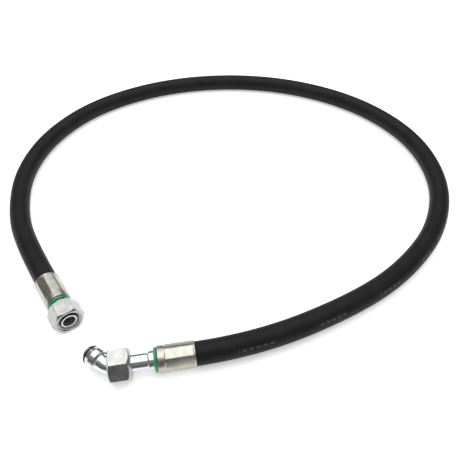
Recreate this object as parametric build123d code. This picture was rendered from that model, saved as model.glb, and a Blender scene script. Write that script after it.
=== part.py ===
from build123d import *
from math import cos, pi, radians, sin, tan
import os

# Hydraulic hose assembly: a two-wire hose with a straight swivel-nut fitting on one end and a
# 45 degree elbow swivel-nut fitting on the other. Millimetres, +Z up, lying on the plane Z = 0.
# The elbow fitting's straight leg runs along X, and its nut stands over the origin.

# Hose, from the bore outwards (radial walls)
HOSE_BORE = 12.7
LINER_WALL = 1.75
BRAID_WALL = 0.5  # of each of the two braids
INTERLAYER_WALL = 0.2
COVER_WALL = 1.45

# Ferrule, crimped on the hose
FERRULE_LENGTH = 33.0
FERRULE_WALL = 2.15
FERRULE_END_WALL = 4.5
CRIMPED_COVER = 0.3  # what is left of the cover's wall under the crimp
BAND_LENGTH = 6.6  # less crimped band at the fitting end
BAND_STEP = 0.25  # how far the band and the rear lip stand proud of the crimped length
LIP_LENGTH = 1.4
CRIMP_DIES = 8
CRIMP_DEPTH = 0.4  # how far each die flattens the round
CRIMP_TURN = 7.5  # degrees from level to the first corner between two dies
FERRULE_CHAMFER = 0.8
TOOTH_COUNT = 5
TOOTH_GROOVE = 0.35
TOOTH_START = 0.75  # of a tooth's pitch, before its groove starts
CUT_OVERLAP = 0.01  # a groove's cut starts this far inside the bore

# Insert: barbed tail, lock groove and collar
TAIL_WALL = 1.7
TAIL_GRIP = 0.25  # how far the barbs' crests press into the liner
BARB_COUNT = 6
BARB_DEPTH = 0.45
BARB_RISE = 0.85  # of a barb's pitch, over which it slopes up
TAIL_PLAIN = 1.0  # from the last barb to the hose's cut end
TAIL_STOP = 2.0  # from the tail's end back to the ferrule's rear end
LOCK_WALL = 1.2
LOCK_CLEARANCE = 0.1
BEAD_LENGTH = 1.6
HOSE_STOP = 0.4  # gap between the bead and the hose's cut end
COLLAR_WALL = 1.2  # of the collar around the tube's socket
STRAIGHT_COLLAR = 3.6
ELBOW_COLLAR = 7.0
COLLAR_CHAMFER = 0.4
SOCKET_DEPTH = 5.0

# Green marking ring on the collar
RING_SECTION = 2.6
RING_GAP = 0.02

# Tube and bend
TUBE_OD = 15.0
TUBE_WALL = 1.5
LEG_LENGTH = 34.5  # from the ferrule's face to the start of the bend
BEND_RADIUS = 17.0
BEND_ANGLE = 45.0
AFTER_BEND = 1.0
BRAZE_LEG = 1.1

# 24 degree cone nose with its O-ring
CONE_HALF_ANGLE = 12.0
CONE_TIP_WALL = 1.3
CONE_LENGTH = 8.0
NOSE_COLLAR_WALL = 2.3  # how far the collar behind the cone stands out from the tube
NOSE_COLLAR_LENGTH = 5.0
NOSE_SHOULDER_RIM = 0.8
CONE_RING_SECTION = 1.8
CONE_GROOVE_WIDTH = 2.2
CONE_GROOVE_START = 1.3
CONE_GROOVE_WALL = 0.8

# Swivel nut, M22 x 1.5 for the 15 mm tube, 27 mm across flats
THREAD_WALL = 3.5  # from the tube's outside to the thread's major radius
NUT_WALL = 2.5  # from the thread's major radius to the flats
NUT_LENGTH = 19.5
THREAD_PITCH = 1.5
THREAD_HEIGHT = 0.541266  # of the pitch, in the basic metric profile
NUT_CLEARANCE = 0.3  # around the tube
SEAT_CLEARANCE = 0.2  # from the back of the nose's collar to the end of the thread
NUT_CHAMFER_ANGLE = 30.0
NUT_FACE_SHARE = 0.95  # end face's circle over the width across flats
NUT_CORNER_ROOM = 0.2  # the chamfer's cone starts this far outside the hexagon's corners
NUT_SET_OFF = 1.8  # from the straight insert's collar to the back of its nut
NUT_OVERHANG = 0.7  # the straight end's nut reaches past the nose by this
NUT_PAST_BEND = 6.75  # the elbow's nut reaches past the start of the bend by this

# Worked out from the sizes above
TUBE_R = TUBE_OD / 2
TUBE_BORE_R = TUBE_R - TUBE_WALL
COLLAR_R = TUBE_R + COLLAR_WALL
TAIL_R = HOSE_BORE / 2 + TAIL_GRIP
TAIL_BORE_R = TAIL_R - TAIL_WALL
LOCK_R = TUBE_BORE_R + LOCK_WALL
NOSE_COLLAR_R = TUBE_R + NOSE_COLLAR_WALL
LINER_R = HOSE_BORE / 2 + LINER_WALL
INNER_BRAID_R = LINER_R + BRAID_WALL
INTERLAYER_R = INNER_BRAID_R + INTERLAYER_WALL
OUTER_BRAID_R = INTERLAYER_R + BRAID_WALL
HOSE_R = OUTER_BRAID_R + COVER_WALL
FERRULE_BORE_R = OUTER_BRAID_R + CRIMPED_COVER
FERRULE_R = FERRULE_BORE_R + FERRULE_WALL
BEAD_R = (LOCK_R + FERRULE_BORE_R) / 2  # half way across the room behind the end wall
THREAD_R = TUBE_R + THREAD_WALL
THREAD_MINOR_R = THREAD_R - THREAD_HEIGHT * THREAD_PITCH
NUT_FLAT_R = THREAD_R + NUT_WALL  # half the width across flats
HOSE_END = -(FERRULE_END_WALL + BEAD_LENGTH + LOCK_CLEARANCE + HOSE_STOP)
NOSE_LENGTH = CONE_LENGTH + NOSE_COLLAR_LENGTH + NOSE_COLLAR_WALL - NOSE_SHOULDER_RIM
STRAIGHT_NOSE = STRAIGHT_COLLAR + NUT_SET_OFF + NUT_LENGTH - NUT_OVERHANG  # from the ferrule's face
THREAD_DEPTH = NUT_OVERHANG + CONE_LENGTH + NOSE_COLLAR_LENGTH + SEAT_CLEARANCE

# The hose's route, from the elbow's ferrule round to the straight end's ferrule. The nuts are
# wider than the hose, so both ends are held up at half a nut's width, and the rest lies flat.
HELD = NUT_FLAT_R
LYING = HOSE_R
ROUTE = [
    (64.5, 0, HELD),
    (120, 0, HELD),
    (223, 30, LYING),
    (288, 63, LYING),
    (347, 115, LYING),
    (386, 190, LYING),
    (390, 284, LYING),
    (347, 374, LYING),
    (268, 440, LYING),
    (170, 473, LYING),
    (67, 470, LYING),
    (-25, 431, LYING),
    (-84, 366, LYING),
    (-111, 290, LYING),
    (-109, 214, LYING),
    (-92, 157, HELD),
    (-68.5, 105.5, HELD),
]


def end_plane(end, neighbour):
    """The fitting's own frame at one end of the route: its origin is the middle of the ferrule's
    face, +Z points out along the fitting, X is level and Y points straight down."""
    outward = (Vector(*end) - Vector(*neighbour)).normalized()
    level = Vector(outward.Y, -outward.X, 0)
    return Plane(origin=Vector(*end) + outward * FERRULE_LENGTH, x_dir=level, z_dir=outward)


ELBOW = end_plane(ROUTE[0], ROUTE[1])
STRAIGHT = end_plane(ROUTE[-1], ROUTE[-2])


def turned(outline):
    """A solid turned about Z from a closed outline of (radius, height) points."""
    face = make_face(Polyline(*[(r, 0, h) for r, h in outline], close=True))
    return revolve(face, Axis.Z)


def rod(radius, low, high):
    return extrude(Plane.XY.offset(low) * Circle(radius), high - low)


def sleeve(outer, inner, low, high):
    return rod(outer, low, high) - rod(inner, low, high)


def ring(middle_radius, section, height):
    return Pos(0, 0, height) * Torus(middle_radius, section / 2)


# Hose

ARC_SHARE = 0.45  # of a run, that the arc at each of its ends may take up


def corner_radii():
    """One arc for each corner, as large as its two runs allow."""
    points = [Vector(*p) for p in ROUTE]
    radii = []
    for before, corner, after in zip(points, points[1:], points[2:]):
        first, second = corner - before, after - corner
        turn = first.get_angle(second)
        radii.append(ARC_SHARE * min(first.length, second.length) / tan(radians(turn / 2)))
    return radii


RADII = corner_radii()
CENTRE_LINE = FilletPolyline(*ROUTE, radius=RADII)


def lying_layer(outer, inner):
    """One layer of the hose between the two ferrules."""
    start = Plane(origin=CENTRE_LINE @ 0, z_dir=CENTRE_LINE % 0)
    section = start * (Circle(outer) - Circle(inner))
    return sweep(section, path=CENTRE_LINE)


def layer(outer, inner, crimped_outer=None, crimped_inner=None):
    """A hose layer with its two ends inside the ferrules."""
    end = sleeve(crimped_outer or outer, crimped_inner or inner, -FERRULE_LENGTH, HOSE_END)
    return lying_layer(outer, inner) + ELBOW * end + STRAIGHT * end


# Ferrule and insert, in the fitting's own frame


def ferrule():
    proud = FERRULE_R + BAND_STEP
    chamfer = min(FERRULE_CHAMFER, FERRULE_WALL / 2)
    rear = -FERRULE_LENGTH
    band = turned([
        (0, 0), (proud - chamfer, 0), (proud, -chamfer), (proud, -BAND_LENGTH),
        (FERRULE_R, -BAND_LENGTH - BAND_STEP), (0, -BAND_LENGTH - BAND_STEP),
    ])
    lip = turned([
        (0, rear), (proud - BAND_STEP, rear), (proud, rear + BAND_STEP),
        (proud, rear + LIP_LENGTH - BAND_STEP), (FERRULE_R, rear + LIP_LENGTH), (0, rear + LIP_LENGTH),
    ])
    crimp_length = FERRULE_LENGTH - BAND_LENGTH - BAND_STEP - LIP_LENGTH
    dies = RegularPolygon(FERRULE_R - CRIMP_DEPTH, CRIMP_DIES, major_radius=False, rotation=CRIMP_TURN)
    section = Circle(FERRULE_R) & dies
    crimped = extrude(Plane.XY.offset(rear + LIP_LENGTH) * section, crimp_length)
    shell = band + crimped + lip
    shell -= rod(LOCK_R + LOCK_CLEARANCE, -FERRULE_END_WALL, 0)
    shell -= rod(FERRULE_BORE_R, rear, -FERRULE_END_WALL)
    pitch = (FERRULE_LENGTH + HOSE_END) / (TOOTH_COUNT + 1)
    for i in range(TOOTH_COUNT):
        low = rear + pitch * (i + TOOTH_START)
        shell -= sleeve(FERRULE_BORE_R + TOOTH_GROOVE, FERRULE_BORE_R - CUT_OVERLAP, low, low + pitch / 2)
    return shell


def barbed_tail():
    """The insert's outline from the tail's open end up to the collar's back face."""
    low = -FERRULE_LENGTH + TAIL_STOP
    high = HOSE_END - TAIL_PLAIN
    pitch = (high - low) / BARB_COUNT
    outline = []
    for i in range(BARB_COUNT):
        outline.append((TAIL_R - BARB_DEPTH, low + pitch * i))
        outline.append((TAIL_R, low + pitch * (i + BARB_RISE)))
    bead_low = -FERRULE_END_WALL - LOCK_CLEARANCE - BEAD_LENGTH
    outline += [
        (TAIL_R - BARB_DEPTH, high), (TAIL_R - BARB_DEPTH, bead_low),
        (BEAD_R, bead_low), (BEAD_R, bead_low + BEAD_LENGTH),
        (LOCK_R, bead_low + BEAD_LENGTH), (LOCK_R, 0), (COLLAR_R, 0),
    ]
    return outline


def marking_ring():
    radius = COLLAR_R + RING_GAP + RING_SECTION / 2
    return ring(radius, RING_SECTION, RING_SECTION / 2 + RING_GAP)


# The 24 degree cone nose, drawn from its tip at height `tip` back to the tube behind it


def nose_outline(tip):
    """Outline points from the back of the nose to its tip."""
    slope = tan(radians(CONE_HALF_ANGLE))
    tip_r = TUBE_BORE_R + CONE_TIP_WALL
    floor_r = TUBE_BORE_R + CONE_GROOVE_WALL
    groove_end = CONE_GROOVE_START + CONE_GROOVE_WIDTH
    collar_back = CONE_LENGTH + NOSE_COLLAR_LENGTH
    return [
        (TUBE_R + NOSE_SHOULDER_RIM, tip - NOSE_LENGTH), (NOSE_COLLAR_R, tip - collar_back),
        (NOSE_COLLAR_R, tip - CONE_LENGTH), (tip_r + slope * CONE_LENGTH, tip - CONE_LENGTH),
        (tip_r + slope * groove_end, tip - groove_end), (floor_r, tip - groove_end),
        (floor_r, tip - CONE_GROOVE_START), (tip_r + slope * CONE_GROOVE_START, tip - CONE_GROOVE_START),
        (tip_r, tip),
    ]


def cone_ring(tip):
    """The O-ring in the nose's groove."""
    radius = TUBE_BORE_R + CONE_GROOVE_WALL + RING_GAP + CONE_RING_SECTION / 2
    return ring(radius, CONE_RING_SECTION, tip - CONE_GROOVE_START - CONE_GROOVE_WIDTH / 2)


def straight_insert():
    neck = [
        (COLLAR_R, STRAIGHT_COLLAR - COLLAR_WALL), (TUBE_R, STRAIGHT_COLLAR),
        (TUBE_R, STRAIGHT_NOSE - NOSE_LENGTH),
    ]
    bore = [
        (TUBE_BORE_R, STRAIGHT_NOSE), (TUBE_BORE_R, -FERRULE_END_WALL / 2),
        (TAIL_BORE_R, -FERRULE_END_WALL / 2), (TAIL_BORE_R, -FERRULE_LENGTH + TAIL_STOP),
    ]
    return turned(barbed_tail() + neck + nose_outline(STRAIGHT_NOSE) + bore)


def elbow_tail_insert():
    floor = ELBOW_COLLAR - SOCKET_DEPTH
    collar = [(COLLAR_R, ELBOW_COLLAR - COLLAR_CHAMFER), (COLLAR_R - COLLAR_CHAMFER, ELBOW_COLLAR)]
    bore = [
        (TUBE_R, ELBOW_COLLAR), (TUBE_R, floor), (TAIL_BORE_R, floor),
        (TAIL_BORE_R, -FERRULE_LENGTH + TAIL_STOP),
    ]
    return turned(barbed_tail() + collar + bore)


# Elbow: the tube bends towards +X of its own frame

BEND_END = Location(
    (BEND_RADIUS * (1 - cos(radians(BEND_ANGLE))), 0, LEG_LENGTH + BEND_RADIUS * sin(radians(BEND_ANGLE))),
    (0, BEND_ANGLE, 0),
)
HEAD_BACK = AFTER_BEND + BRAZE_LEG  # from the bend's end to the back of the cone head
HEAD_TIP = HEAD_BACK + NOSE_LENGTH


def bent_tube():
    start = (0, 0, ELBOW_COLLAR - SOCKET_DEPTH)
    corner = (0, 0, LEG_LENGTH + BEND_RADIUS * tan(radians(BEND_ANGLE / 2)))
    finish = (BEND_END * Pos(0, 0, HEAD_BACK + SOCKET_DEPTH)).position
    path = FilletPolyline(start, corner, finish, radius=BEND_RADIUS)
    section = Plane.XY.offset(start[2]) * (Circle(TUBE_R) - Circle(TUBE_BORE_R))
    return sweep(section, path=path)


def cone_head():
    """The head's own frame has its origin at the bend's end."""
    socket_floor = HEAD_BACK + SOCKET_DEPTH
    bore = [
        (TUBE_BORE_R, HEAD_TIP), (TUBE_BORE_R, socket_floor), (TUBE_R, socket_floor), (TUBE_R, HEAD_BACK),
    ]
    return turned(nose_outline(HEAD_TIP) + bore)


def braze_fillet(foot):
    """A ring of braze around the tube, on the face at height foot."""
    return turned([(TUBE_R, foot), (TUBE_R + min(BRAZE_LEG, NOSE_SHOULDER_RIM), foot), (TUBE_R, foot + BRAZE_LEG)])


# Swivel nut, its mouth at height `mouth`


def swivel_nut(mouth):
    back = mouth - NUT_LENGTH
    face_r = NUT_FACE_SHARE * NUT_FLAT_R
    corner_r = NUT_FLAT_R / cos(radians(30)) + NUT_CORNER_ROOM
    fall = (corner_r - face_r) * tan(radians(NUT_CHAMFER_ANGLE))
    hexagon = RegularPolygon(NUT_FLAT_R, 6, major_radius=False)
    blank = extrude(Plane.XY.offset(back) * hexagon, NUT_LENGTH)
    blank &= turned([
        (0, back), (face_r, back), (corner_r, back + fall),
        (corner_r, mouth - fall), (face_r, mouth), (0, mouth),
    ])
    rear_r = TUBE_R + NUT_CLEARANCE
    seat = mouth - THREAD_DEPTH
    lead = THREAD_PITCH * 2 / 3  # of the chamfer at the mouth
    blank -= turned([
        (0, back), (rear_r, back), (rear_r, seat - (THREAD_MINOR_R - rear_r)), (THREAD_MINOR_R, seat),
        (THREAD_MINOR_R, mouth - lead), (THREAD_MINOR_R + lead, mouth), (0, mouth),
    ])
    return blank


def build():
    head = ELBOW * BEND_END
    return {
        "hose_liner": layer(LINER_R, HOSE_BORE / 2, crimped_inner=TAIL_R),
        "hose_inner_braid": layer(INNER_BRAID_R, LINER_R),
        "hose_interlayer": layer(INTERLAYER_R, INNER_BRAID_R),
        "hose_outer_braid": layer(OUTER_BRAID_R, INTERLAYER_R),
        "hose_cover": layer(HOSE_R, OUTER_BRAID_R, crimped_outer=FERRULE_BORE_R),
        "straight_insert": STRAIGHT * straight_insert(),
        "straight_ferrule": STRAIGHT * ferrule(),
        "straight_marking_ring": STRAIGHT * marking_ring(),
        "straight_cone_o_ring": STRAIGHT * cone_ring(STRAIGHT_NOSE),
        "straight_swivel_nut": STRAIGHT * swivel_nut(STRAIGHT_NOSE + NUT_OVERHANG),
        "elbow_tail_insert": ELBOW * elbow_tail_insert(),
        "elbow_ferrule": ELBOW * ferrule(),
        "elbow_marking_ring": ELBOW * marking_ring(),
        "elbow_bent_tube": ELBOW * bent_tube(),
        "elbow_tail_braze": ELBOW * braze_fillet(ELBOW_COLLAR),
        "elbow_cone_head": head * cone_head(),
        "elbow_head_braze": head * Pos(0, 0, HEAD_BACK) * Rot(180, 0, 0) * braze_fillet(0),
        "elbow_cone_o_ring": head * cone_ring(HEAD_TIP),
        "elbow_swivel_nut": ELBOW * swivel_nut(LEG_LENGTH + NUT_PAST_BEND),
    }


os.makedirs("parts", exist_ok=True)
for name, solid in build().items():
    export_step(solid, f"parts/{name}.step")
    print(name, "volume", round(solid.volume, 1))

print("centre line", round(CENTRE_LINE.length, 1), "mm; corner radii", [round(r) for r in RADII])
cover_section = pi * (HOSE_R**2 - OUTER_BRAID_R**2)
print("cover, section times length", round(cover_section * CENTRE_LINE.length, 1))
print("cover between the ferrules", round(lying_layer(HOSE_R, OUTER_BRAID_R).volume, 1))
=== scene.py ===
# %% [markdown]
# # A hydraulic hose assembly
#
# A wire-braided hose lies in an open loop. One end has a straight fitting with a swivel nut, the
# other a 45 degree elbow with the same nut slid back on its straight leg. Each end is held in a
# crimped ferrule, and a green ring marks each collar.
#
# The sizes were settled in the CAD model, which is loaded first as a fixed frame. Every visible
# piece is then modelled again with finer detail, in the same place, and given its finish.

# %% Load the frame
from math import atan2, cos, degrees, pi, radians, sin, tan

import bmesh
import bpy
from mathutils import Matrix, Vector


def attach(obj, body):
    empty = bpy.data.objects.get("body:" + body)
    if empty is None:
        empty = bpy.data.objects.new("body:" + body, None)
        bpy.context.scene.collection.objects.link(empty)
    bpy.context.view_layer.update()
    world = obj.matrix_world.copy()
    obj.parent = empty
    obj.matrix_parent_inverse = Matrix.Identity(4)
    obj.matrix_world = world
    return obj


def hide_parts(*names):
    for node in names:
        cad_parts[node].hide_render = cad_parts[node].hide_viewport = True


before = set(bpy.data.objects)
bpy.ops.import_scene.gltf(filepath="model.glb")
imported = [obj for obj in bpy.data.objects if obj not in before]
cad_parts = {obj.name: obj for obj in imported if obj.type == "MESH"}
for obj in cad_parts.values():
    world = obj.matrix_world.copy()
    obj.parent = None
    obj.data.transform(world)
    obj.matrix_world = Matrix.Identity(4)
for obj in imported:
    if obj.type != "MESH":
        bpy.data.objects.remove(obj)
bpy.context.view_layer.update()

MM = 0.001

# %% [markdown]
# ## The camera
#
# The loop is seen from in front and above, at about 45 degrees. The lens is close to a normal
# one, so the near ends look larger than the far side of the loop. Making the camera first means
# that every later piece can be judged in the view that matters.

# %% Camera
CAMERA_PLACE = (0.0523, -0.2444, 0.40266)
CAMERA_TILT, CAMERA_TURN = radians(45.5), radians(-9.925)  # up from straight down, and to the right
SENSOR_WIDTH, LENS = 36, 40.22
bpy.ops.object.camera_add(location=CAMERA_PLACE, rotation=(CAMERA_TILT, 0, CAMERA_TURN))
camera = bpy.context.object
camera.data.sensor_width, camera.data.lens = SENSOR_WIDTH, LENS
camera.data.clip_start = 0.01
bpy.context.scene.camera = camera
print("camera", [round(v, 3) for v in camera.location], "lens", round(camera.data.lens, 1))

# %% [markdown]
# ## The hose's line
#
# A hose this stiff never kinks: it springs out into one slow curve. It could be drawn with the
# pen-like Bezier tool, but a NURBS spline of order 3 stays smooth however its points are moved,
# so the route's points are its control points. Both ends start straight, because the ferrules
# hold them. A curve with no bevel turns into a mesh of plain points, which the tube then follows.

# %% Route
HELD, LYING = 0.0135, 0.01075  # the nuts hold the ends up, and the rest lies flat
ROUTE = [Vector(place) for place in (
    (0.0645, 0, HELD), (0.120, 0, HELD), (0.223, 0.030, LYING), (0.288, 0.063, LYING),
    (0.347, 0.115, LYING), (0.386, 0.190, LYING), (0.390, 0.284, LYING), (0.347, 0.374, LYING),
    (0.268, 0.440, LYING), (0.170, 0.473, LYING), (0.067, 0.470, LYING), (-0.025, 0.431, LYING),
    (-0.084, 0.366, LYING), (-0.111, 0.290, LYING), (-0.109, 0.214, LYING), (-0.092, 0.157, HELD),
    (-0.0685, 0.1055, HELD),
)]


def smooth_line(places, steps):
    """Points along the NURBS spline that has these control points."""
    curve = bpy.data.curves.new("route", "CURVE")
    curve.dimensions = "3D"
    spline = curve.splines.new("NURBS")
    spline.points.add(len(places) - 1)
    for point, place in zip(spline.points, places):
        point.co = (*place, 1)
    spline.order_u = 3
    spline.use_endpoint_u = True
    spline.resolution_u = steps
    holder = bpy.data.objects.new("route", curve)
    line = bpy.data.meshes.new_from_object(holder)
    points = [vertex.co.copy() for vertex in line.vertices]
    bpy.data.objects.remove(holder)
    return points


HOSE_LINE = smooth_line(ROUTE, steps=16)
HOSE_LENGTH = sum((b - a).length for a, b in zip(HOSE_LINE, HOSE_LINE[1:]))
print("hose line:", len(HOSE_LINE), "points,", round(HOSE_LENGTH / MM, 1), "mm")

# %% [markdown]
# ## The hose's two held ends
#
# The line above is the hose that can be seen. At each end it goes on, straight, into a ferrule,
# where the crimp has squeezed it. The sleeves need a ring of points at each place along the whole
# length, so the places and directions are listed once here, and every layer is built on them. At
# a ferrule's mouth there are two rings in one place, one squeezed and one not: that makes the step.

# %% Hose stations
FERRULE_LENGTH = 33.0
HELD_LENGTH = 26.4 * MM  # of hose inside each ferrule
first_way = (HOSE_LINE[1] - HOSE_LINE[0]).normalized()
last_way = (HOSE_LINE[-1] - HOSE_LINE[-2]).normalized()
CENTRES = [
    HOSE_LINE[0] - first_way * HELD_LENGTH,
    *HOSE_LINE,
    HOSE_LINE[-1] + last_way * HELD_LENGTH,
]
STATIONS = [(CENTRES[0], first_way, True), (HOSE_LINE[0], first_way, True)]
befores, afters = [HOSE_LINE[0], *HOSE_LINE], [*HOSE_LINE[1:], HOSE_LINE[-1]]
for before, here, after in zip(befores, HOSE_LINE, afters):
    STATIONS.append((here, (after - before).normalized(), False))
STATIONS += [(HOSE_LINE[-1], last_way, True), (CENTRES[-1], last_way, True)]
print(len(STATIONS), "stations,", round((HOSE_LENGTH + 2 * HELD_LENGTH) / MM, 1), "mm of cut hose")

# %% [markdown]
# ## The hose's five layers
#
# Under the black cover are two steel braids, a thin rubber between them, and the liner that
# holds the oil. A curve with a round bevel would give a quick tube, but it has no inner wall and
# no useful coordinates. So each layer is a mesh sleeve: rings of points along the line, an outer
# wall, an inner wall and two end faces. At each end the sleeve goes on into the ferrule, where
# the crimp has squeezed it thinner. The UV map is in real metres, along and around, so that a
# weave on it keeps its true size.

# %% Layer builder
def ring_places(centre, along, radius, sides):
    """Points around the line. The first is on the side, level, and they run upwards over the top."""
    level = along.cross(Vector((0, 0, 1))).normalized()
    up = level.cross(along)
    turns = [2 * pi * k / sides for k in range(sides)]
    return [centre + (level * cos(turn) + up * sin(turn)) * radius for turn in turns]


def hose_layer(name, outer, inner, crimped_outer, crimped_inner, sides):
    """One sleeve of the hose. Radii are in millimetres."""
    places, walks, walk, previous = [], [], 0.0, STATIONS[0][0]
    for centre, along, crimped in STATIONS:
        walk += (centre - previous).length
        previous = centre
        walks.append(walk - HELD_LENGTH)
        places += ring_places(centre, along, (crimped_outer if crimped else outer) * MM, sides)
        places += ring_places(centre, along, (crimped_inner if crimped else inner) * MM, sides)
    faces, maps = [], []
    side_width = 2 * pi * outer * MM / sides

    def wall(start, end, flip, span_a, span_b):
        """Faces between the ring that begins at point start and the one that begins at end."""
        for k in range(sides):
            j = (k + 1) % sides
            side_a, side_b = k * side_width, (k + 1) * side_width
            quad = [start + k, start + j, end + j, end + k]
            square = [(span_a, side_a), (span_a, side_b), (span_b, side_b), (span_b, side_a)]
            faces.append(quad[::-1] if flip else quad)
            maps.append(square[::-1] if flip else square)

    for i in range(len(STATIONS) - 1):
        here, there = i * 2 * sides, (i + 1) * 2 * sides
        wall(here, there, False, walks[i], walks[i + 1])
        wall(here + sides, there + sides, True, walks[i], walks[i + 1])
    tail = (len(STATIONS) - 1) * 2 * sides
    wall(0, sides, True, walks[0], walks[0])
    wall(tail, tail + sides, False, walks[-1], walks[-1])
    mesh = bpy.data.meshes.new(name)
    mesh.from_pydata(places, [], faces)
    wrap = mesh.uv_layers.new(name="wrap")
    for face, corners in zip(mesh.polygons, maps):
        for loop, corner in zip(face.loop_indices, corners):
            wrap.data[loop].uv = corner
    layer = bpy.data.objects.new(name, mesh)
    bpy.context.scene.collection.objects.link(layer)
    print(name, len(mesh.polygons), "faces")
    return layer


# %% [markdown]
# ## Sleeve by sleeve
#
# From the inside out: liner, braid, rubber, braid, cover, each starting where the last one ends.
# The barbed tail widens the bore a little, and the ferrule squeezes the cover. Only the cover
# shows, so it has twice the sides of the others, which would otherwise cost triangles for nothing.

# %% Hose layers
HOSE_BORE, LINER, INNER_BRAID, INTERLAYER, OUTER_BRAID, HOSE_R = 6.35, 8.1, 8.6, 8.8, 9.3, 10.75
CRIMPED_BORE, CRIMPED_COVER_R = 6.6, 9.6
HIDDEN_SIDES, COVER_SIDES = 32, 64
liner = hose_layer("liner", LINER, HOSE_BORE, LINER, CRIMPED_BORE, HIDDEN_SIDES)
inner_braid = hose_layer("inner_wire_braid", INNER_BRAID, LINER, INNER_BRAID, LINER, HIDDEN_SIDES)
interlayer = hose_layer(
    "rubber_between_braids", INTERLAYER, INNER_BRAID, INTERLAYER, INNER_BRAID, HIDDEN_SIDES)
outer_braid = hose_layer(
    "outer_wire_braid", OUTER_BRAID, INTERLAYER, OUTER_BRAID, INTERLAYER, HIDDEN_SIDES)
cover = hose_layer(
    "hose_outer_cover", HOSE_R, OUTER_BRAID, CRIMPED_COVER_R, OUTER_BRAID, COVER_SIDES)

# %% [markdown]
# ## Operators that act on one object
#
# Blender's operators work on whatever is selected, so a script has to say what that is each
# time. These helpers make one object the only selected one, pick its vertices by their place,
# and bake a modifier into the mesh. Shading is soft over edges flatter than an angle: a small one
# for the nut's flats, and a large one for the rings, which have no corner that should show.

# %% Selecting
LAYER_ANGLE, TURNED_ANGLE, RING_ANGLE, NUT_ANGLE = 30, 35, 60, 28


def only(obj):
    """Makes obj the only selected object."""
    bpy.ops.object.select_all(action="DESELECT")
    obj.select_set(True)
    bpy.context.view_layer.objects.active = obj


def pick_vertices(obj, wanted):
    """In edit mode, selects the vertices whose place passes the test."""
    mesh = bmesh.from_edit_mesh(obj.data)
    for vertex in mesh.verts:
        vertex.select = bool(wanted(vertex.co))
    mesh.select_flush_mode()
    bmesh.update_edit_mesh(obj.data)


def apply_modifier(obj, kind, **settings):
    only(obj)
    modifier = obj.modifiers.new(kind.lower(), kind)
    for key, value in settings.items():
        setattr(modifier, key, value)
    bpy.ops.object.modifier_apply(modifier=modifier.name)


def smooth(obj, angle):
    """Soft shading over edges flatter than the angle, with flat faces kept flat-looking."""
    only(obj)
    bpy.ops.object.shade_smooth_by_angle(angle=radians(angle))
    apply_modifier(obj, "WEIGHTED_NORMAL", keep_sharp=True)


for layer in (liner, inner_braid, interlayer, outer_braid, cover):
    only(layer)
    bpy.ops.object.shade_smooth_by_angle(angle=radians(LAYER_ANGLE))
print("five layers shaded smooth")

# %% [markdown]
# ## Turning a shape, as on a lathe
#
# Most of a fitting is turned on a lathe. A cone or cylinder primitive would give the plain
# shape only, and a Screw modifier needs a profile drawn beforehand. Here a circle is added, then
# extruded and scaled ring by ring along the outline, and the last ring meets the first. Real
# turned edges are never knife sharp, so the outline's corners are rounded before it is turned.

# %% Lathe
SIDES = 96  # of every turned piece
SHORT_SIDE_SHARE = 0.4  # a rounded corner takes no more than this of a side
NEARLY_STRAIGHT = radians(165)
WELD = 0.001 * MM  # points closer than this become one


def rounded(outline, radius, steps=3):
    """The closed outline with each corner cut round. The radius shrinks where a side is short."""
    corners = [Vector(point) for point in outline]
    result = []
    for before, corner, after in zip(corners[-1:] + corners[:-1], corners, corners[1:] + corners[:1]):
        back, ahead = before - corner, after - corner
        reach = min(radius, SHORT_SIDE_SHARE * back.length, SHORT_SIDE_SHARE * ahead.length)
        if back.angle(ahead) > NEARLY_STRAIGHT:
            result.append(tuple(corner))
            continue
        start, end = corner + back.normalized() * reach, corner + ahead.normalized() * reach
        for i in range(steps + 1):
            t = i / steps
            result.append(tuple(start * (1 - t) ** 2 + corner * 2 * t * (1 - t) + end * t**2))
    return result


def close_shape():
    """In edit mode: merges double points, turns the faces outwards, and leaves edit mode."""
    bpy.ops.mesh.select_all(action="SELECT")
    bpy.ops.mesh.remove_doubles(threshold=WELD)
    bpy.ops.mesh.normals_make_consistent(inside=False)
    bpy.ops.object.mode_set(mode="OBJECT")


def turned(name, outline):
    """A closed shape turned about Z from (radius, height) points in millimetres."""
    radius, height = outline[0]
    bpy.ops.mesh.primitive_circle_add(vertices=SIDES, radius=radius * MM)
    obj = bpy.context.object
    obj.name = obj.data.name = name
    bpy.ops.object.mode_set(mode="EDIT")
    bpy.ops.mesh.select_all(action="SELECT")
    bpy.ops.transform.translate(value=(0, 0, height * MM))
    for next_radius, next_height in outline[1:] + outline[:1]:
        rise, growth = (next_height - height) * MM, next_radius / radius
        bpy.ops.mesh.extrude_region_move(TRANSFORM_OT_translate={"value": (0, 0, rise)})
        bpy.ops.transform.resize(value=(growth, growth, 1), center_override=(0, 0, 0))
        radius, height = next_radius, next_height
    close_shape()
    return obj


print("turned pieces have", SIDES, "sides")

# %% [markdown]
# ## Where the fittings sit
#
# Each fitting is modelled upright at the origin, with its axis on Z and the ferrule's end face at
# height 0, because that is the easiest way to think about it. Then it is laid in its place and
# the move is applied, so that the finished object stands at the origin, unturned. Before that,
# each point's place in the fitting is kept in an attribute, for the finishes to read: turning
# marks run round the fitting's own axis wherever it lies.

# %% Fitting frames
def fitting_frame(end, neighbour):
    """From the fitting's own upright place to where it lies."""
    outward = (end - neighbour).normalized()
    level = Vector((outward.y, -outward.x, 0))
    down = outward.cross(level)
    origin = end + outward * FERRULE_LENGTH * MM
    return Matrix.Translation(origin) @ Matrix((level, down, outward)).transposed().to_4x4()


def lay_in_place(obj, where, body="hose_assembly"):
    kept = obj.data.attributes.new("fitting", "FLOAT_VECTOR", "POINT")
    kept.data.foreach_set("vector", [value for vertex in obj.data.vertices for value in vertex.co])
    only(obj)
    obj.matrix_world = where
    bpy.ops.object.transform_apply(location=True, rotation=True, scale=True)
    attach(obj, body)


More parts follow.
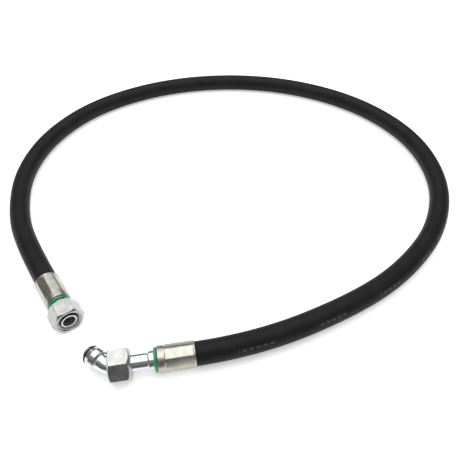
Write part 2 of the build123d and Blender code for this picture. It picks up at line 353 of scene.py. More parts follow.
ELBOW = fitting_frame(ROUTE[0], ROUTE[1])
STRAIGHT = fitting_frame(ROUTE[-1], ROUTE[-2])
print("elbow face at", [round(v / MM, 1) for v in ELBOW.translation])
print("straight face at", [round(v / MM, 1) for v in STRAIGHT.translation])

# %% [markdown]
# ## Sizes shared by the fittings
#
# The tube is 15 mm outside and 12 mm inside, and everything around it is a wall or a clearance
# more than that. Radii and heights are in millimetres. The heights of the tail are below 0,
# because it is inside the ferrule. The cone's own heights are measured back from its tip.

# %% Fitting sizes
TUBE_R, BORE_R, COLLAR_R = 7.5, 6.0, 8.7
LOCK_R, BEAD_R = 7.2, 8.4
BEAD_BACK, BEAD_FRONT = -6.2, -4.6
TAIL_R, TAIL_BORE_R, BARB = 6.6, 4.9, 0.45
TAIL_LOW, TAIL_HIGH = -31.0, -7.6
CONE_SLOPE, CONE_LENGTH, CONE_TIP_R = tan(radians(12)), 8.0, 7.3
NOSE_COLLAR_R, NOSE_COLLAR_BACK, NOSE_BACK, NOSE_BACK_R = 9.8, 13.0, 14.5, 8.3
GROOVE_START, GROOVE_END, GROOVE_FLOOR = 1.3, 3.5, 6.8  # two heights, and the radius of its floor
print("24 degree cone:", round(2 * (CONE_TIP_R + CONE_SLOPE * CONE_LENGTH), 1), "mm across at its base")

# %% [markdown]
# ## The ferrule
#
# Eight dies press a steel shell onto the hose. They leave eight soft flats, and between them
# eight narrow ridges where the metal has nowhere to go. The band at the fitting's end and the
# lip at the hose's end are pressed less. A Boolean with eight planes would cut the flats, but it
# would leave no ridges, so the turned shell's columns of points are pushed in or out by a
# resize about the axis, a column at a time.

# %% Ferrule sizes
FERRULE_R, BAND_R = 11.75, 12.0  # of the long middle before pressing, and of the two bands
LOCK_HOLE_R, END_WALL, CUP_R = 7.3, 4.5, 9.6  # the wall round the lock groove, and the cup's inside
FACE_CHAMFER, BAND_END, LIP_START = 0.8, -6.6, -31.85
PRESSED_TOP, PRESSED_LOW = -7.3, -31.1
INSIDE_R, MARGIN = 11.0, 0.1  # the cup's inner wall lies within this radius, and isn't pressed
DIES, DIE_TURN = 8, -15
DIE_SPACING = 360 / DIES
PRESSED_R = (11.36, 11.38, 11.44, 11.54, 11.66, 11.80, 12.0)  # from a flat's middle to its ridge
COLUMN = 360 / SIDES
print("a flat every", DIE_SPACING, "degrees, pressed", round(FERRULE_R - PRESSED_R[0], 2), "mm deep")


# %% Ferrule shell
def ferrule(name):
    step = BAND_R - FERRULE_R
    outline = [
        (LOCK_HOLE_R, 0), (BAND_R - FACE_CHAMFER, 0), (BAND_R, -FACE_CHAMFER),
        (BAND_R, BAND_END), (FERRULE_R, BAND_END - step),
        (FERRULE_R, PRESSED_TOP), (FERRULE_R, PRESSED_LOW),
        (FERRULE_R, LIP_START + step), (BAND_R, LIP_START),
        (BAND_R, step - FERRULE_LENGTH), (BAND_R - step, -FERRULE_LENGTH),
        (CUP_R, -FERRULE_LENGTH), (CUP_R, -END_WALL), (LOCK_HOLE_R, -END_WALL),
    ]
    shell = turned(name, rounded(outline, radius=0.3))
    bpy.ops.object.mode_set(mode="EDIT")
    for column, pressed in enumerate(PRESSED_R):
        def in_column(co):
            turn = degrees(atan2(co.y, co.x)) - DIE_TURN
            from_die = (turn + DIE_SPACING / 2) % DIE_SPACING - DIE_SPACING / 2
            in_height = (PRESSED_LOW - MARGIN) * MM < co.z < (PRESSED_TOP + MARGIN) * MM
            outside = co.to_2d().length > INSIDE_R * MM
            return in_height and outside and abs(abs(from_die) - column * COLUMN) < COLUMN / 2

        pick_vertices(shell, in_column)
        growth = pressed / FERRULE_R
        bpy.ops.transform.resize(value=(growth, growth, 1), center_override=(0, 0, 0))
    bpy.ops.object.mode_set(mode="OBJECT")
    return shell


# %% [markdown]
# ## Tails and collars
#
# Both inserts have the same barbed tail inside the hose: six saw teeth that grip the liner, a
# groove where the ferrule locks on, and a bead. None of it shows, but it is the real piece, and
# the same outline serves both ends. The straight end's insert runs on as one piece to its cone.
# The elbow's insert ends in a collar, and the tube is brazed into it.

# %% Insert outlines
BARBS, BARB_RISE = 6, 0.85  # how many teeth, and the share of each that rises


def barbed_tail():
    pitch = (TAIL_HIGH - TAIL_LOW) / BARBS
    outline = []
    for i in range(BARBS):
        outline.append((TAIL_R - BARB, TAIL_LOW + pitch * i))
        outline.append((TAIL_R, TAIL_LOW + pitch * (i + BARB_RISE)))
    return outline + [
        (TAIL_R - BARB, TAIL_HIGH), (TAIL_R - BARB, BEAD_BACK), (BEAD_R, BEAD_BACK),
        (BEAD_R, BEAD_FRONT), (LOCK_R, BEAD_FRONT), (LOCK_R, 0), (COLLAR_R, 0),
    ]


def cone_nose(tip):
    """Outline of the 24 degree cone and its collar, from the back to the tip."""
    def cone_point(back):
        return CONE_TIP_R + CONE_SLOPE * back, tip - back

    return [
        (NOSE_BACK_R, tip - NOSE_BACK), (NOSE_COLLAR_R, tip - NOSE_COLLAR_BACK),
        (NOSE_COLLAR_R, tip - CONE_LENGTH), cone_point(CONE_LENGTH),
        cone_point(GROOVE_END), (GROOVE_FLOOR, tip - GROOVE_END),
        (GROOVE_FLOOR, tip - GROOVE_START), cone_point(GROOVE_START), (CONE_TIP_R, tip),
    ]


print(BARBS, "barbs,", round((TAIL_HIGH - TAIL_LOW) / BARBS, 2), "mm apart")

# %% [markdown]
# ## Two inserts from one outline
#
# On the straight end, collar, neck and cone are one turned piece. On the elbow, the collar is a
# socket that the tube goes into. Each outline is a ring of points: up the outside, over the end
# and back down the bore. Drawing the bore too makes a real hollow part, which a cylinder with a
# dark disc on its end would only pretend to be.

# %% Inserts
STRAIGHT_TIP, STRAIGHT_BORE_STEP = 24.2, -2.25
STRAIGHT_COLLAR, STRAIGHT_NECK = 2.4, 3.6  # the collar's end, and where the slope meets the neck
COLLAR, COLLAR_CHAMFER, SOCKET_FLOOR = 7.0, 0.4, 2
straight_insert = turned("straight_insert", rounded(
    barbed_tail()
    + [(COLLAR_R, STRAIGHT_COLLAR), (TUBE_R, STRAIGHT_NECK), (TUBE_R, STRAIGHT_TIP - NOSE_BACK)]
    + cone_nose(STRAIGHT_TIP)
    + [(BORE_R, STRAIGHT_TIP), (BORE_R, STRAIGHT_BORE_STEP)]
    + [(TAIL_BORE_R, STRAIGHT_BORE_STEP), (TAIL_BORE_R, TAIL_LOW)], radius=0.18))
elbow_insert = turned("elbow_insert", rounded(
    barbed_tail()
    + [(COLLAR_R, COLLAR - COLLAR_CHAMFER), (COLLAR_R - COLLAR_CHAMFER, COLLAR), (TUBE_R, COLLAR)]
    + [(TUBE_R, SOCKET_FLOOR), (TAIL_BORE_R, SOCKET_FLOOR), (TAIL_BORE_R, TAIL_LOW)], radius=0.15))
for piece, where, node in (
    (straight_insert, STRAIGHT, "straight_insert"),
    (elbow_insert, ELBOW, "elbow_tail_insert"),
):
    smooth(piece, TURNED_ANGLE)
    lay_in_place(piece, where)
    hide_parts(node)
    print(piece.name, len(piece.data.polygons), "faces")

# %% [markdown]
# ## A ferrule on each end
#
# The two ferrules are alike, because one press with one set of dies made both. A linked copy
# would save memory, but each piece keeps its place in its own mesh, so each gets its own shell.

# %% Both ferrules
for name, where in (("straight_ferrule", STRAIGHT), ("elbow_ferrule", ELBOW)):
    shell = ferrule(name + "_shell")
    smooth(shell, TURNED_ANGLE)
    lay_in_place(shell, where)
    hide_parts(name)
    print(shell.name, len(shell.data.polygons), "faces")

# %% [markdown]
# ## The rubber rings
#
# A green ring marks each collar, and a black O-ring sits in the groove of each cone. The torus
# primitive is a perfect ring. A moulded ring has a thin flash line inside and outside, where the
# two halves of its mould met, so its section is drawn with that line and turned like the rest.

# %% Rings
SECTION_SIDES = 24
FLASH_SHARE = 0.02  # of the ring's section
RING_GAP = 0.02  # a hair of air between a ring and the metal
O_RING_SECTION, GREEN_SECTION = 1.8, 2.6


def rubber_ring(name, middle, section, height):
    half, flash = section / 2, FLASH_SHARE * section
    outline = []
    for k in range(SECTION_SIDES):
        turn = 2 * pi * k / SECTION_SIDES
        out = half if k in (0, SECTION_SIDES // 2) else half - flash
        outline.append((middle + out * cos(turn), height + out * sin(turn)))
    return turned(name, outline)


def groove_ring(name, tip):
    middle = GROOVE_FLOOR + RING_GAP + O_RING_SECTION / 2
    return rubber_ring(name, middle, O_RING_SECTION, tip - (GROOVE_START + GROOVE_END) / 2)


def collar_ring(name):
    out = RING_GAP + GREEN_SECTION / 2
    return rubber_ring(name, COLLAR_R + out, GREEN_SECTION, out)


print("flash lines stand", FLASH_SHARE * GREEN_SECTION, "mm proud on the green rings")

# %% [markdown]
# ## The elbow
#
# A straight leg, a bend of 45 degrees, and a short end in the cone head. A curve with a bevel
# could make it, but modelling it as a tube bender works is as short: one ring is extruded along
# the leg, spun round the bend's centre, and extruded to the end. Solidify then gives the wall.

# %% Elbow frames
LEG, BEND_RADIUS, BEND = 34.5, 17.0, radians(45)
HEAD_BACK = 2.1  # from the bend's end to the back of the head
HEAD_SOCKET = 5  # of tube inside the head
HEAD_TIP = HEAD_BACK + NOSE_BACK
bend_end = Vector((BEND_RADIUS * (1 - cos(BEND)), 0, LEG + BEND_RADIUS * sin(BEND))) * MM
bend = Matrix.Translation(bend_end) @ Matrix.Rotation(BEND, 4, "Y")
HEAD = ELBOW @ bend
print("head frame at", [round(v / MM, 1) for v in HEAD.translation])

# %% [markdown]
# ## Bending the tube
#
# Spin turns the last ring about the bend's centre, which is off to one side by the bend's radius.
# The sign of its angle is easy to get wrong, so the cell prints how far the bend reaches, beside
# what the sizes give. The tube starts as a skin of no thickness. Solidify gives the wall inwards,
# so the outside stays true.

# %% Bent tube
LEG_STEPS, BEND_STEPS = 4, 24
bpy.ops.mesh.primitive_circle_add(vertices=SIDES, radius=TUBE_R * MM)
bent_tube = bpy.context.object
bent_tube.name = bent_tube.data.name = "bent_tube"
bpy.ops.object.mode_set(mode="EDIT")
bpy.ops.mesh.select_all(action="SELECT")
bpy.ops.transform.translate(value=(0, 0, SOCKET_FLOOR * MM))
rise = (LEG - SOCKET_FLOOR) / LEG_STEPS * MM
for _ in range(LEG_STEPS):
    bpy.ops.mesh.extrude_region_move(TRANSFORM_OT_translate={"value": (0, 0, rise)})
bend_centre = (BEND_RADIUS * MM, 0, LEG * MM)
bpy.ops.mesh.spin(steps=BEND_STEPS, angle=-BEND, center=bend_centre, axis=(0, 1, 0))
reached = max(vertex.co.x for vertex in bmesh.from_edit_mesh(bent_tube.data).verts)
expected = bend_end.x + TUBE_R * MM * cos(BEND)
print("bend reaches x", round(reached / MM, 2), "mm; should be near", round(expected / MM, 2))
outward = Vector((sin(BEND), 0, cos(BEND)))
into_head = outward * (HEAD_BACK + HEAD_SOCKET) * MM
bpy.ops.mesh.extrude_region_move(TRANSFORM_OT_translate={"value": into_head})
close_shape()
apply_modifier(bent_tube, "SOLIDIFY", thickness=(TUBE_R - BORE_R) * MM, offset=-1)
smooth(bent_tube, TURNED_ANGLE)
lay_in_place(bent_tube, ELBOW)
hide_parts("elbow_bent_tube")
print("tube", len(bent_tube.data.polygons), "faces")

# %% [markdown]
# ## The cone head
#
# The head is turned from bar with the same cone as the straight end, and bored out at the back to
# take the tube. It is drawn upright like the rest, and the head's frame lays it in line with the
# bent end, so no angle has to be worked out for its points.

# %% Cone head
cone_head = turned("cone_head", rounded(
    cone_nose(HEAD_TIP)
    + [(BORE_R, HEAD_TIP), (BORE_R, HEAD_BACK + HEAD_SOCKET)]
    + [(TUBE_R, HEAD_BACK + HEAD_SOCKET), (TUBE_R, HEAD_BACK)], radius=0.18))
smooth(cone_head, TURNED_ANGLE)
lay_in_place(cone_head, HEAD)
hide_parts("elbow_cone_head")
print("cone head", len(cone_head.data.polygons), "faces")

# %% [markdown]
# ## Four rings
#
# The green rings lie against their ferrules, round the collars, where a fitter can see them. The
# black ones are stretched into the cones' grooves and seal against the part that the nut draws in.

# %% Rings in place
rings = (
    (collar_ring("straight_green_ring"), STRAIGHT, "straight_marking_ring", "green_rubber"),
    (collar_ring("elbow_green_ring"), ELBOW, "elbow_marking_ring", "green_rubber"),
    (groove_ring("straight_o_ring", STRAIGHT_TIP), STRAIGHT, "straight_cone_o_ring", "black_rubber"),
    (groove_ring("elbow_o_ring", HEAD_TIP), HEAD, "elbow_cone_o_ring", "black_rubber"),
)
for ring, where, node, slot_name in rings:
    smooth(ring, RING_ANGLE)
    lay_in_place(ring, where)
    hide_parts(node)
    print(ring.name, len(ring.data.polygons), "faces")

# %% [markdown]
# ## The braze
#
# Brazing metal is drawn into the joint and leaves a small hollow fillet where the tube enters
# the insert and the head. A Bevel on a joined mesh could round the corner, but tube and insert
# are separate parts. So the fillet is its own turned piece: its outline is a triangle with its
# long side curved inwards.

# %% Braze fillets
BRAZE_WIDTH, BRAZE_HEIGHT, BRAZE_ROOT = 0.8, 1.1, 0.02  # the root sinks into the tube


def braze(name, foot, direction):
    """A fillet around the tube, on the face at height foot, rising in the given direction."""
    outline = [(TUBE_R - BRAZE_ROOT, foot)]
    for t in (k * pi / 8 for k in range(5)):
        rise = BRAZE_HEIGHT * (1 - cos(t))
        outline.append((TUBE_R + BRAZE_WIDTH * (1 - sin(t)), foot + direction * rise))
    return turned(name, outline)


for name, foot, direction, where, node in (
    ("tail_braze", COLLAR, 1, ELBOW, "elbow_tail_braze"),
    ("head_braze", HEAD_BACK, -1, HEAD, "elbow_head_braze"),
):
    fillet = braze(name, foot, direction)
    smooth(fillet, RING_ANGLE)
    lay_in_place(fillet, where)
    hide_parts(node)
    print(fillet.name, len(fillet.data.polygons), "faces")

# %% [markdown]
# ## The swivel nut
#
# A hexagon nut is turned and milled: the bar is turned with a chamfer at each end, and six flats
# are cut. Working in that order gives the curved edges where flat meets chamfer for free, which
# a six-sided cylinder wouldn't have. The blank is turned and then bisected by six planes.

# %% Nut blank
FLAT_R, NUT_LENGTH, THREAD_DEPTH = 13.5, 19.5, 13.9
THREAD_R, THREAD_MINOR_R, PITCH = 11.0, 10.19, 1.5
MOUTH_R, MOUTH_CHAMFER, RUN_OUT, NUT_HOLE_R = 11.5, 0.6, 0.7, 7.8
FACE_R, FACE_SLOPE = 12.8, tan(radians(30))
REAR_FACE_R, REAR_SLOPE = 11.7, tan(radians(40))
CORNER_R = FLAT_R / cos(radians(30)) + 0.2  # a little more than the hexagon's corners
seat = -THREAD_DEPTH
nut = turned("swivel_nut", [
    (NUT_HOLE_R, -NUT_LENGTH), (REAR_FACE_R, -NUT_LENGTH),
    (CORNER_R, -NUT_LENGTH + (CORNER_R - REAR_FACE_R) * REAR_SLOPE),
    (CORNER_R, -(CORNER_R - FACE_R) * FACE_SLOPE), (FACE_R, 0),
    (MOUTH_R, 0), (THREAD_R, -MOUTH_CHAMFER), (THREAD_R, seat + RUN_OUT),
    (THREAD_MINOR_R, seat), (NUT_HOLE_R, seat - (THREAD_MINOR_R - NUT_HOLE_R)),
])
bpy.ops.object.mode_set(mode="EDIT")
for k in range(6):
    turn = radians(30 + 60 * k)
    flat = Vector((cos(turn), sin(turn), 0))
    bpy.ops.mesh.select_all(action="SELECT")
    bpy.ops.mesh.bisect(plane_co=flat * FLAT_R * MM, plane_no=flat, clear_outer=True, use_fill=True)
close_shape()
print("nut blank", len(nut.data.polygons), "faces")

# %% [markdown]
# ## Softening the nut's edges
#
# No milled edge stays knife sharp through plating and handling, and rounded edges catch the light
# as thin bright lines. A Bevel modifier finds them by angle, so the gentle steps between the sides
# of the turned chamfers are left alone.

# %% Nut edges
EDGE_WIDTH, EDGE_ANGLE = 0.35 * MM, radians(22)
apply_modifier(nut, "BEVEL", width=EDGE_WIDTH, segments=3, limit_method="ANGLE",
               angle_limit=EDGE_ANGLE, use_clamp_overlap=False)
print("nut with soft edges", len(nut.data.polygons), "faces")

# %% [markdown]
# ## The thread
#
# Rings one pitch apart would look much like a thread, but a real one climbs, and the eye notices
# at the mouth. A small square is squeezed into the thread's section, its face is taken away, and
# a Screw modifier winds its edge up the bore, one pitch for each turn. The two ends are closed,
# and the coil is joined to the nut, into whose wall it sinks a little.

# %% Thread
THREAD_ROOT, ROOT_WIDTH, CREST_SHARE = THREAD_R + 0.05, 1.24, 0.3
THREAD_START, THREAD_TURNS, TURN_STEPS = seat + 0.95, 8, 48
bpy.ops.mesh.primitive_plane_add(size=1, rotation=(radians(90), 0, 0))
thread = bpy.context.object
bpy.ops.object.transform_apply(location=True, rotation=True, scale=True)
bpy.ops.object.mode_set(mode="EDIT")
bpy.ops.mesh.select_all(action="SELECT")
section = ((THREAD_ROOT - THREAD_MINOR_R) * MM, 1, ROOT_WIDTH * MM)
bpy.ops.transform.resize(value=section, center_override=(0, 0, 0))
section_place = ((THREAD_ROOT + THREAD_MINOR_R) / 2 * MM, 0, THREAD_START * MM)
bpy.ops.transform.translate(value=section_place)
pick_vertices(thread, lambda co: co.x < (THREAD_R + THREAD_MINOR_R) / 2 * MM)
bpy.ops.transform.resize(value=(1, 1, CREST_SHARE), center_override=(0, 0, THREAD_START * MM))
bpy.ops.mesh.select_all(action="SELECT")
bpy.ops.mesh.delete(type="ONLY_FACE")
bpy.ops.object.mode_set(mode="OBJECT")
apply_modifier(thread, "SCREW", angle=2 * pi, screw_offset=PITCH * MM, iterations=THREAD_TURNS,
               steps=TURN_STEPS, render_steps=TURN_STEPS)
bpy.ops.object.mode_set(mode="EDIT")
bpy.ops.mesh.select_all(action="SELECT")
bpy.ops.mesh.fill_holes(sides=0)
bpy.ops.mesh.normals_make_consistent(inside=False)
bpy.ops.object.mode_set(mode="OBJECT")
only(nut)
thread.select_set(True)
bpy.ops.object.join()
print("nut with thread", len(nut.data.polygons), "faces")

# %% [markdown]
# ## One nut, twice
#
# Both ends have the same nut, so it is modelled once. The copy gets its own mesh, because a mesh
# that two objects share can't hold two places. The straight end's nut is forward, round its
# cone, and the elbow's has slid back on its leg. Each rides on its own body, so that it can turn.

# %% Two nuts
STRAIGHT_MOUTH, ELBOW_MOUTH = 24.9, LEG + 6.75
second = nut.copy()
second.data = nut.data.copy()
bpy.context.scene.collection.objects.link(second)
nut.name, second.name = "straight_nut_piece", "elbow_nut_piece"
for piece, where, mouth, body, node in (
    (nut, STRAIGHT, STRAIGHT_MOUTH, "straight_nut", "straight_swivel_nut"),
    (second, ELBOW, ELBOW_MOUTH, "elbow_nut", "elbow_swivel_nut"),
):
    smooth(piece, NUT_ANGLE)
    lay_in_place(piece, where @ Matrix.Translation((0, 0, mouth * MM)), body)
    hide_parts(node)
    print(piece.name, "rides on", body)

# %% [markdown]
# ## The hose on its body
#
# The cover has a real length and diameter, leaves the elbow's ferrule and goes back into the straight
# end's. The layers inside go with it, on the same body.

# %% Hose on its body
for layer, node, slot_name in (
    (liner, "hose_liner", "liner_rubber"),
    (inner_braid, "hose_inner_braid", "braid_wire"),
    (interlayer, "hose_interlayer", "liner_rubber"),
    (outer_braid, "hose_outer_braid", "braid_wire"),
    (cover, "hose_cover", "cover_rubber"),
):
    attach(layer, "hose_assembly")
    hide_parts(node)

# %% [markdown]
# ## A way to write finishes
#
# A finish is a small program of shader nodes. Wiring dozens of Math nodes by hand hides what is
# being worked out, so a value that varies over the surface is wrapped in a class: adding or
# multiplying two of them adds the Math node. Any other node comes from one method, which takes
# the node's settings first and its inputs after.

# %% Finish
class Value:
    """A number or colour that varies over the surface."""

    def __init__(self, finish, socket):
        self.finish, self.socket = finish, socket

    def math(self, operation, *others):
        inputs = dict(enumerate((self, *others)))
        return self.finish.node("ShaderNodeMath", {"operation": operation}, inputs)

    def __add__(self, other):
        return self.math("ADD", other)

    def __sub__(self, other):
        return self.math("SUBTRACT", other)

    def __mul__(self, other):
        return self.math("MULTIPLY", other)

    def __truediv__(self, other):
        return self.math("DIVIDE", other)

    def __rsub__(self, other):
        return self * -1 + other

    __radd__, __rmul__ = __add__, __mul__

    def between(self, low, high):
        """0 below low, 1 above high, and a smooth rise between them."""
        settings = {"interpolation_type": "SMOOTHSTEP"}
        return self.finish.node("ShaderNodeMapRange", settings, {0: self, 1: low, 2: high})


class Finish:
    """A material made of nodes around one Principled shader."""

    def __init__(self, name, **constants):
        self.material = bpy.data.materials.new(name)
        self.material.use_nodes = True
        self.tree = self.material.node_tree
        self.shader = self.tree.nodes["Principled BSDF"]
        self.set(**constants)

    def set(self, **values):
        """Sets the shader's sockets; base_color stands for the socket Base Color."""
        for key, value in values.items():
            socket = self.shader.inputs[key.replace("_", " ").title().replace("Ior", "IOR")]
            if isinstance(value, Value):
                self.tree.links.new(value.socket, socket)
            else:
                socket.default_value = value

    def node(self, kind, settings=None, inputs=None, output=0):
        made = self.tree.nodes.new(kind)
        for key, value in (settings or {}).items():
            setattr(made, key, value)
        for key, value in (inputs or {}).items():
            if isinstance(value, Value):
                self.tree.links.new(value.socket, made.inputs[key])
            else:
                made.inputs[key].default_value = value
        return Value(self, made.outputs[output])

    def mix(self, share, first, second):
        """The first colour where share is 0, and the second where it is 1."""
        first, second = ((*c, 1) if isinstance(c, tuple) else c for c in (first, second))
        inputs = {0: share, 6: first, 7: second}  # the Mix node's places for a colour
        return self.node("ShaderNodeMix", {"data_type": "RGBA"}, inputs, output=2)

    def noise(self, where, scale, detail=3, roughness=0.5):
        inputs = {"Vector": where, "Scale": scale, "Detail": detail, "Roughness": roughness}
        return self.node("ShaderNodeTexNoise", None, inputs)

    def stretched(self, where, scale):
        return self.node("ShaderNodeMapping", None, {"Vector": where, "Scale": scale})

    def apart(self, where):
        """The three coordinates of a vector, each as a value."""
        return [self.node("ShaderNodeSeparateXYZ", None, {0: where}, output=k) for k in range(3)]

    def joined(self, x, y, z):
        return self.node("ShaderNodeCombineXYZ", None, {0: x, 1: y, 2: z})

    def on_hose(self):
        """The place on a layer of the hose: metres along and metres around."""
        return self.node("ShaderNodeUVMap", {"uv_map": "wrap"})

    def on_fitting(self):
        """The place in the upright fitting, kept when the piece was laid down."""
        return self.node("ShaderNodeAttribute", {"attribute_name": "fitting"}, output=1)

    def on_object(self):
        return self.node("ShaderNodeTexCoord", output=3)

    def bump(self, height, distance, strength=1.0):
        """Raises the surface by height times distance, in metres, in its shading only."""
        inputs = {"Height": height, "Distance": distance, "Strength": strength}
        self.set(normal=self.node("ShaderNodeBump", None, inputs))

    def on(self, *pieces):
        for piece in pieces:
            piece.data.materials.clear()
            piece.data.materials.append(self.material)
        print(self.material.name, "on", [piece.name for piece in pieces])


# %% [markdown]
# ## The cover
#
# The cover is cured inside a cloth tape wrapped tightly round it, and when the tape comes off
# it leaves its weave in the rubber, with a faint step where one turn lapped over the next. A
# line of grey print runs along real hoses. Here it is a row of plain dashes with no letters. All
# of it is drawn on the UV map, in metres along and around the hose, because a pattern on Object
# coordinates would smear where the hose turns away from it.

# %% Cover finish
THREAD_SPACING, LAP_SPACING, DASH_SPACING = 0.0011, 0.046, 0.0062  # metres
PRINT_AROUND, PRINT_EDGE = 0.0053, (0.0011, 0.0014)  # its middle, and where its half width fades
BLACK, WORN_BLACK, PRINT_GREY = (0.004, 0.004, 0.0043), (0.008, 0.008, 0.0085), (0.13, 0.13, 0.135)
rubber = Finish("cover_rubber", specular_ior_level=0.22)
where = rubber.on_hose()
along, around, _ = rubber.apart(where)
warp = ((along + around) * (2 * pi / THREAD_SPACING)).math("SINE")
weft = ((along - around) * (2 * pi / THREAD_SPACING)).math("SINE")
lap = ((along + around * 0.8) / LAP_SPACING).math("FRACT").between(0.0, 0.05)
cloud = rubber.noise(where, 45, 4)
grain = rubber.noise(where, 900, 2)
dash = (along / DASH_SPACING).math("FRACT").between(0.30, 0.36)
word = rubber.noise(rubber.stretched(where, (28, 0, 0)), 1, 0).between(0.5, 0.52)
print_band = 1 - (around - PRINT_AROUND).math("ABSOLUTE").between(*PRINT_EDGE)
wear = 0.35 + 0.65 * rubber.noise(where, 1400, 1).between(0.35, 0.6)
printed = dash * word * print_band * wear
base = rubber.mix(cloud.between(0.35, 0.7), BLACK, WORN_BLACK)
rubber.set(base_color=rubber.mix(printed * 0.45, base, PRINT_GREY), roughness=0.52 + 0.14 * grain)
rubber.bump(0.35 * warp * weft + 0.9 * lap + 0.8 * grain, 0.00005, 0.8)
rubber.on(cover)

# %% [markdown]
# ## The layers inside
#
# The braids are brass-coated steel wire laid in bands that cross. Modelling each wire would take
# very many faces for something that is hidden, so bands and wires are drawn in the shading. The
# two rubbers are plain and smooth with a little unevenness.

# %% Inner finishes
BAND_WIDTH, WIRE_SPACING = 0.006, 0.0006  # metres
braid = Finish("braid_wire", metallic=1.0)
along, around, _ = braid.apart(braid.on_hose())
over = ((along + around) / BAND_WIDTH).math("FRACT").between(0.48, 0.52)
wires = ((along * (2 * over - 1) + around) * (2 * pi / WIRE_SPACING)).math("SINE")
braid_tint = braid.mix(over, (0.62, 0.53, 0.33), (0.56, 0.50, 0.36))
braid.set(base_color=braid_tint, roughness=0.30 + 0.08 * over)
braid.bump(wires, 0.00008)
braid.on(inner_braid, outer_braid)

lining = Finish("liner_rubber")
spots = lining.noise(lining.on_object(), 300, 3)
lining_tint = lining.mix(spots, (0.010, 0.010, 0.011), (0.018, 0.018, 0.019))
lining.set(base_color=lining_tint, roughness=0.4 + 0.15 * spots)
lining.on(liner, interlayer)

# %% [markdown]
# ## Bright zinc
#
# Plated steel is metal first: its colour is its reflection. What makes it look real is what
# breaks the reflection up: fine rings left by the lathe, a slow unevenness of the plating, and
# the faint blue and yellow of the passivation. The rings are noise that is stretched so that it
# varies along the axis and hardly around it.

# %% Zinc finish
LATHE_SCALE, SLOW_SCALE, FINE_SCALE = 6000, 160, 1300  # marks for each metre
BORE_EDGE = (0.0061, 0.0064)  # distances from the axis where the duller bore ends


def zinc(name, cool, warm, low, high, rings, dents, bore=0.0, stain=None):
    """Plated steel: two tints, a range of roughness, the depth of rings and dents, a duller bore.

    A stain is a third tint, in patches near the two ends of a ferrule.
    """
    metal = Finish(name, metallic=1.0)
    where = metal.on_fitting()
    x, y, height = metal.apart(where)
    off_axis = (x * x + y * y).math("SQRT")
    lathe = metal.noise(metal.joined(off_axis * LATHE_SCALE, off_axis * 0, height * LATHE_SCALE), 1, 2)
    slow = metal.noise(where, SLOW_SCALE, 3)
    fine = metal.noise(where, FINE_SCALE, 4, 0.6)
    inside = bore * (1 - off_axis.between(*BORE_EDGE))
    tint = metal.mix(slow.between(0.35, 0.65), cool, warm)
    if stain:
        near_face, near_hose = height.between(-0.0085, -0.0055), 1 - height.between(-0.0325, -0.0305)
        patches = (near_face + near_hose) * slow.between(0.25, 0.6)
        tint = metal.mix(patches * 0.8, tint, stain)
    dullness = fine.between(0.3, 0.7) * (0.5 + 0.5 * slow)
    metal.set(base_color=tint, roughness=low + (high - low) * dullness + inside)
    metal.bump(rings * lathe + dents * fine, 0.00002)
    return metal


bright = zinc("zinc_bright", (0.62, 0.68, 0.72), (0.72, 0.70, 0.72), 0.12, 0.26, 0.5, 0.4)
bright.on(bent_tube)
turned_zinc = zinc(
    "zinc_turned", (0.58, 0.62, 0.66), (0.68, 0.66, 0.65), 0.14, 0.30, 0.6, 0.4, bore=0.25)
turned_zinc.on(straight_insert, elbow_insert, cone_head)
brazed = zinc("braze_metal", (0.74, 0.74, 0.72), (0.80, 0.77, 0.68), 0.25, 0.45, 0.0, 1.5)
brazed.on(bpy.data.objects["tail_braze"], bpy.data.objects["head_braze"])
satin = zinc("zinc_nut", (0.39, 0.40, 0.40), (0.48, 0.475, 0.455), 0.22, 0.42, 0.3, 1.6)
satin.on(nut, second)

# %% [markdown]
# ## The ferrules' zinc
#
# The ferrules' plating is duller and yellower than that of the turned parts, with a faint pink
# stain near the two ends of each. A finish of its own could be written for them, but the recipe
# above serves, with one more tint laid over the first two in patches.

# %% Ferrule finish
pressed_zinc = zinc(
    "zinc_ferrule", (0.38, 0.395, 0.35), (0.49, 0.47, 0.385), 0.27, 0.42, 0.3, 0.8,
    stain=(0.50, 0.41, 0.385))
pressed_zinc.on(*(bpy.data.objects[name + "_ferrule_shell"] for name in ("straight", "elbow")))

# %% [markdown]
# ## Ring rubbers
#
# The green rings are soft, shiny and strongly coloured. The black ones are oiled, so they shine
# a little too. A little unevenness of the gloss keeps both from looking like plastic beads.

# %% Ring finishes
def ring_rubber(name, deep, pale, low, high, coat):
    """Moulded rubber: two tints, a range of roughness, and how much shine lies on it."""
    moulded = Finish(name, coat_roughness=0.15)
    where = moulded.on_fitting()
    uneven, dust = moulded.noise(where, 220, 3), moulded.noise(where, 2400, 2)
    tint, roughness = moulded.mix(uneven, deep, pale), low + (high - low) * dust
    moulded.set(base_color=tint, roughness=roughness, coat_weight=coat * uneven)
    moulded.bump(dust + uneven, 0.00002)
    return moulded


green = ring_rubber("green_rubber", (0.004, 0.27, 0.10), (0.010, 0.38, 0.16), 0.2, 0.4, 0.6)
green.on(rings[0][0], rings[1][0])
oiled = ring_rubber("black_rubber", (0.008, 0.008, 0.009), (0.014, 0.014, 0.015), 0.25, 0.45, 0.5)
oiled.on(rings[2][0], rings[3][0])

# %% [markdown]
# ## The table
#
# The assembly lies on a white table, and hardly throws a shadow. A white floor under lamps alone
# comes out grey away from them, so this one gives off a little light of its own, which also
# lifts the shadow.

# %% Floor
bpy.ops.mesh.primitive_plane_add(size=14, location=(0.1, 0.2, 0))
floor = bpy.context.object
floor.name = "floor"
paper = Finish("white_table", specular_ior_level=0.1)
fibre = paper.noise(paper.on_object(), 40, 3)
paper.set(base_color=paper.mix(fibre, (0.90, 0.90, 0.90), (0.93, 0.93, 0.93)), roughness=0.8,
          emission_color=(1, 1, 1, 1), emission_strength=0.46)
paper.on(floor)

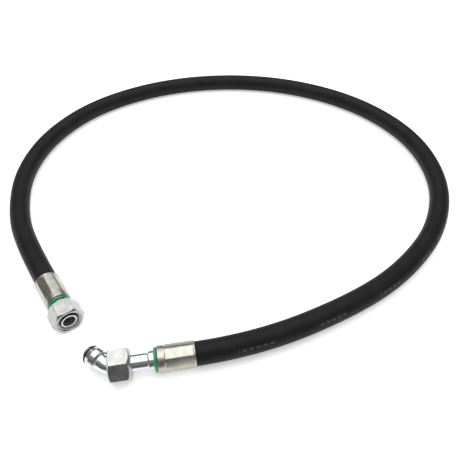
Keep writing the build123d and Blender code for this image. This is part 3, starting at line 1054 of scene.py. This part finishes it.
# %% [markdown]
# ## A dark card for the metal
#
# Polished metal shows what is around it, and on a white table that is white on every side. A
# studio puts a dark card beside such a part, so that some faces go dark and its shape can be
# read. This card lies just above the table, and only reflections see it: the camera, the shadows
# and the soft light pass it by. Whatever polished metal faces it turns darker.

# %% Black card
bpy.ops.mesh.primitive_plane_add(size=1, location=(-1.465, -0.75, 0.001))
card = bpy.context.object
card.name = "black_card"
bpy.ops.transform.resize(value=(3, 1.4, 1))
card.visible_camera = card.visible_diffuse = card.visible_shadow = False
black = Finish("black_card", specular_ior_level=0.1)
nap = black.noise(black.on_object(), 60, 2)
black.set(base_color=black.mix(nap, (0.15, 0.15, 0.15), (0.19, 0.19, 0.19)), roughness=0.9)
black.on(card)

# %% [markdown]
# ## Two soft panels
#
# One large panel hangs over the assembly, and a weaker one behind it lights the far side of the
# loop. A small lamp would be brighter for its power but would draw hard shadows. Each panel
# is turned to its target with a track rotation, which is easier to get right than three angles.

# %% Lamps
def panel(name, place, target, width, depth, power):
    bpy.ops.object.light_add(type="AREA", location=place)
    lamp = bpy.context.object
    lamp.name = name
    lamp.data.shape = "RECTANGLE"
    lamp.data.size, lamp.data.size_y, lamp.data.energy = width, depth, power
    lamp.rotation_euler = (Vector(target) - Vector(place)).to_track_quat("-Z", "Y").to_euler()
    lamp.visible_camera = False
    print(name, "panel,", power, "W")


panel("overhead", (0.1, 0.28, 1.5), (0.1, 0.28, 0), 2.2, 1.9, 28)
panel("behind", (0.1, 1.95, 1.5), (0.1, 1.95, 0), 2.2, 0.9, 11)

# %% [markdown]
# ## The room
#
# What the panels don't reach is lit and mirrored by the room. It is darker low down than high
# up, which gives the nuts and the tube their dark streaks. A plain colour would light as well, but
# leaves metal flat. The camera itself sees the room as white, through the Light Path node.

# %% Room
LOW_ROOM, HIGH_ROOM = (0.10, 0.10, 0.105, 1), (0.30, 0.30, 0.30, 1)
world = bpy.data.worlds.new("room")
bpy.context.scene.world = world
world.use_nodes = True
room = world.node_tree
background = room.nodes["Background"]
direction, parts, rise, ray, sight = (
    room.nodes.new("ShaderNode" + kind)
    for kind in ("TexCoord", "SeparateXYZ", "ValToRGB", "LightPath", "Mix"))
room.links.new(direction.outputs["Generated"], parts.inputs[0])
room.links.new(parts.outputs[2], rise.inputs[0])
stops = rise.color_ramp.elements
stops[0].position, stops[0].color = 0.10, LOW_ROOM
stops[1].position, stops[1].color = 0.75, HIGH_ROOM
sight.data_type = "RGBA"
room.links.new(ray.outputs["Is Camera Ray"], sight.inputs[0])
room.links.new(rise.outputs[0], sight.inputs[6])
sight.inputs[7].default_value = (1, 1, 1, 1)
room.links.new(sight.outputs[2], background.inputs[0])
bpy.context.scene.view_settings.view_transform = "Standard"
print("room darker low down, white to the camera")
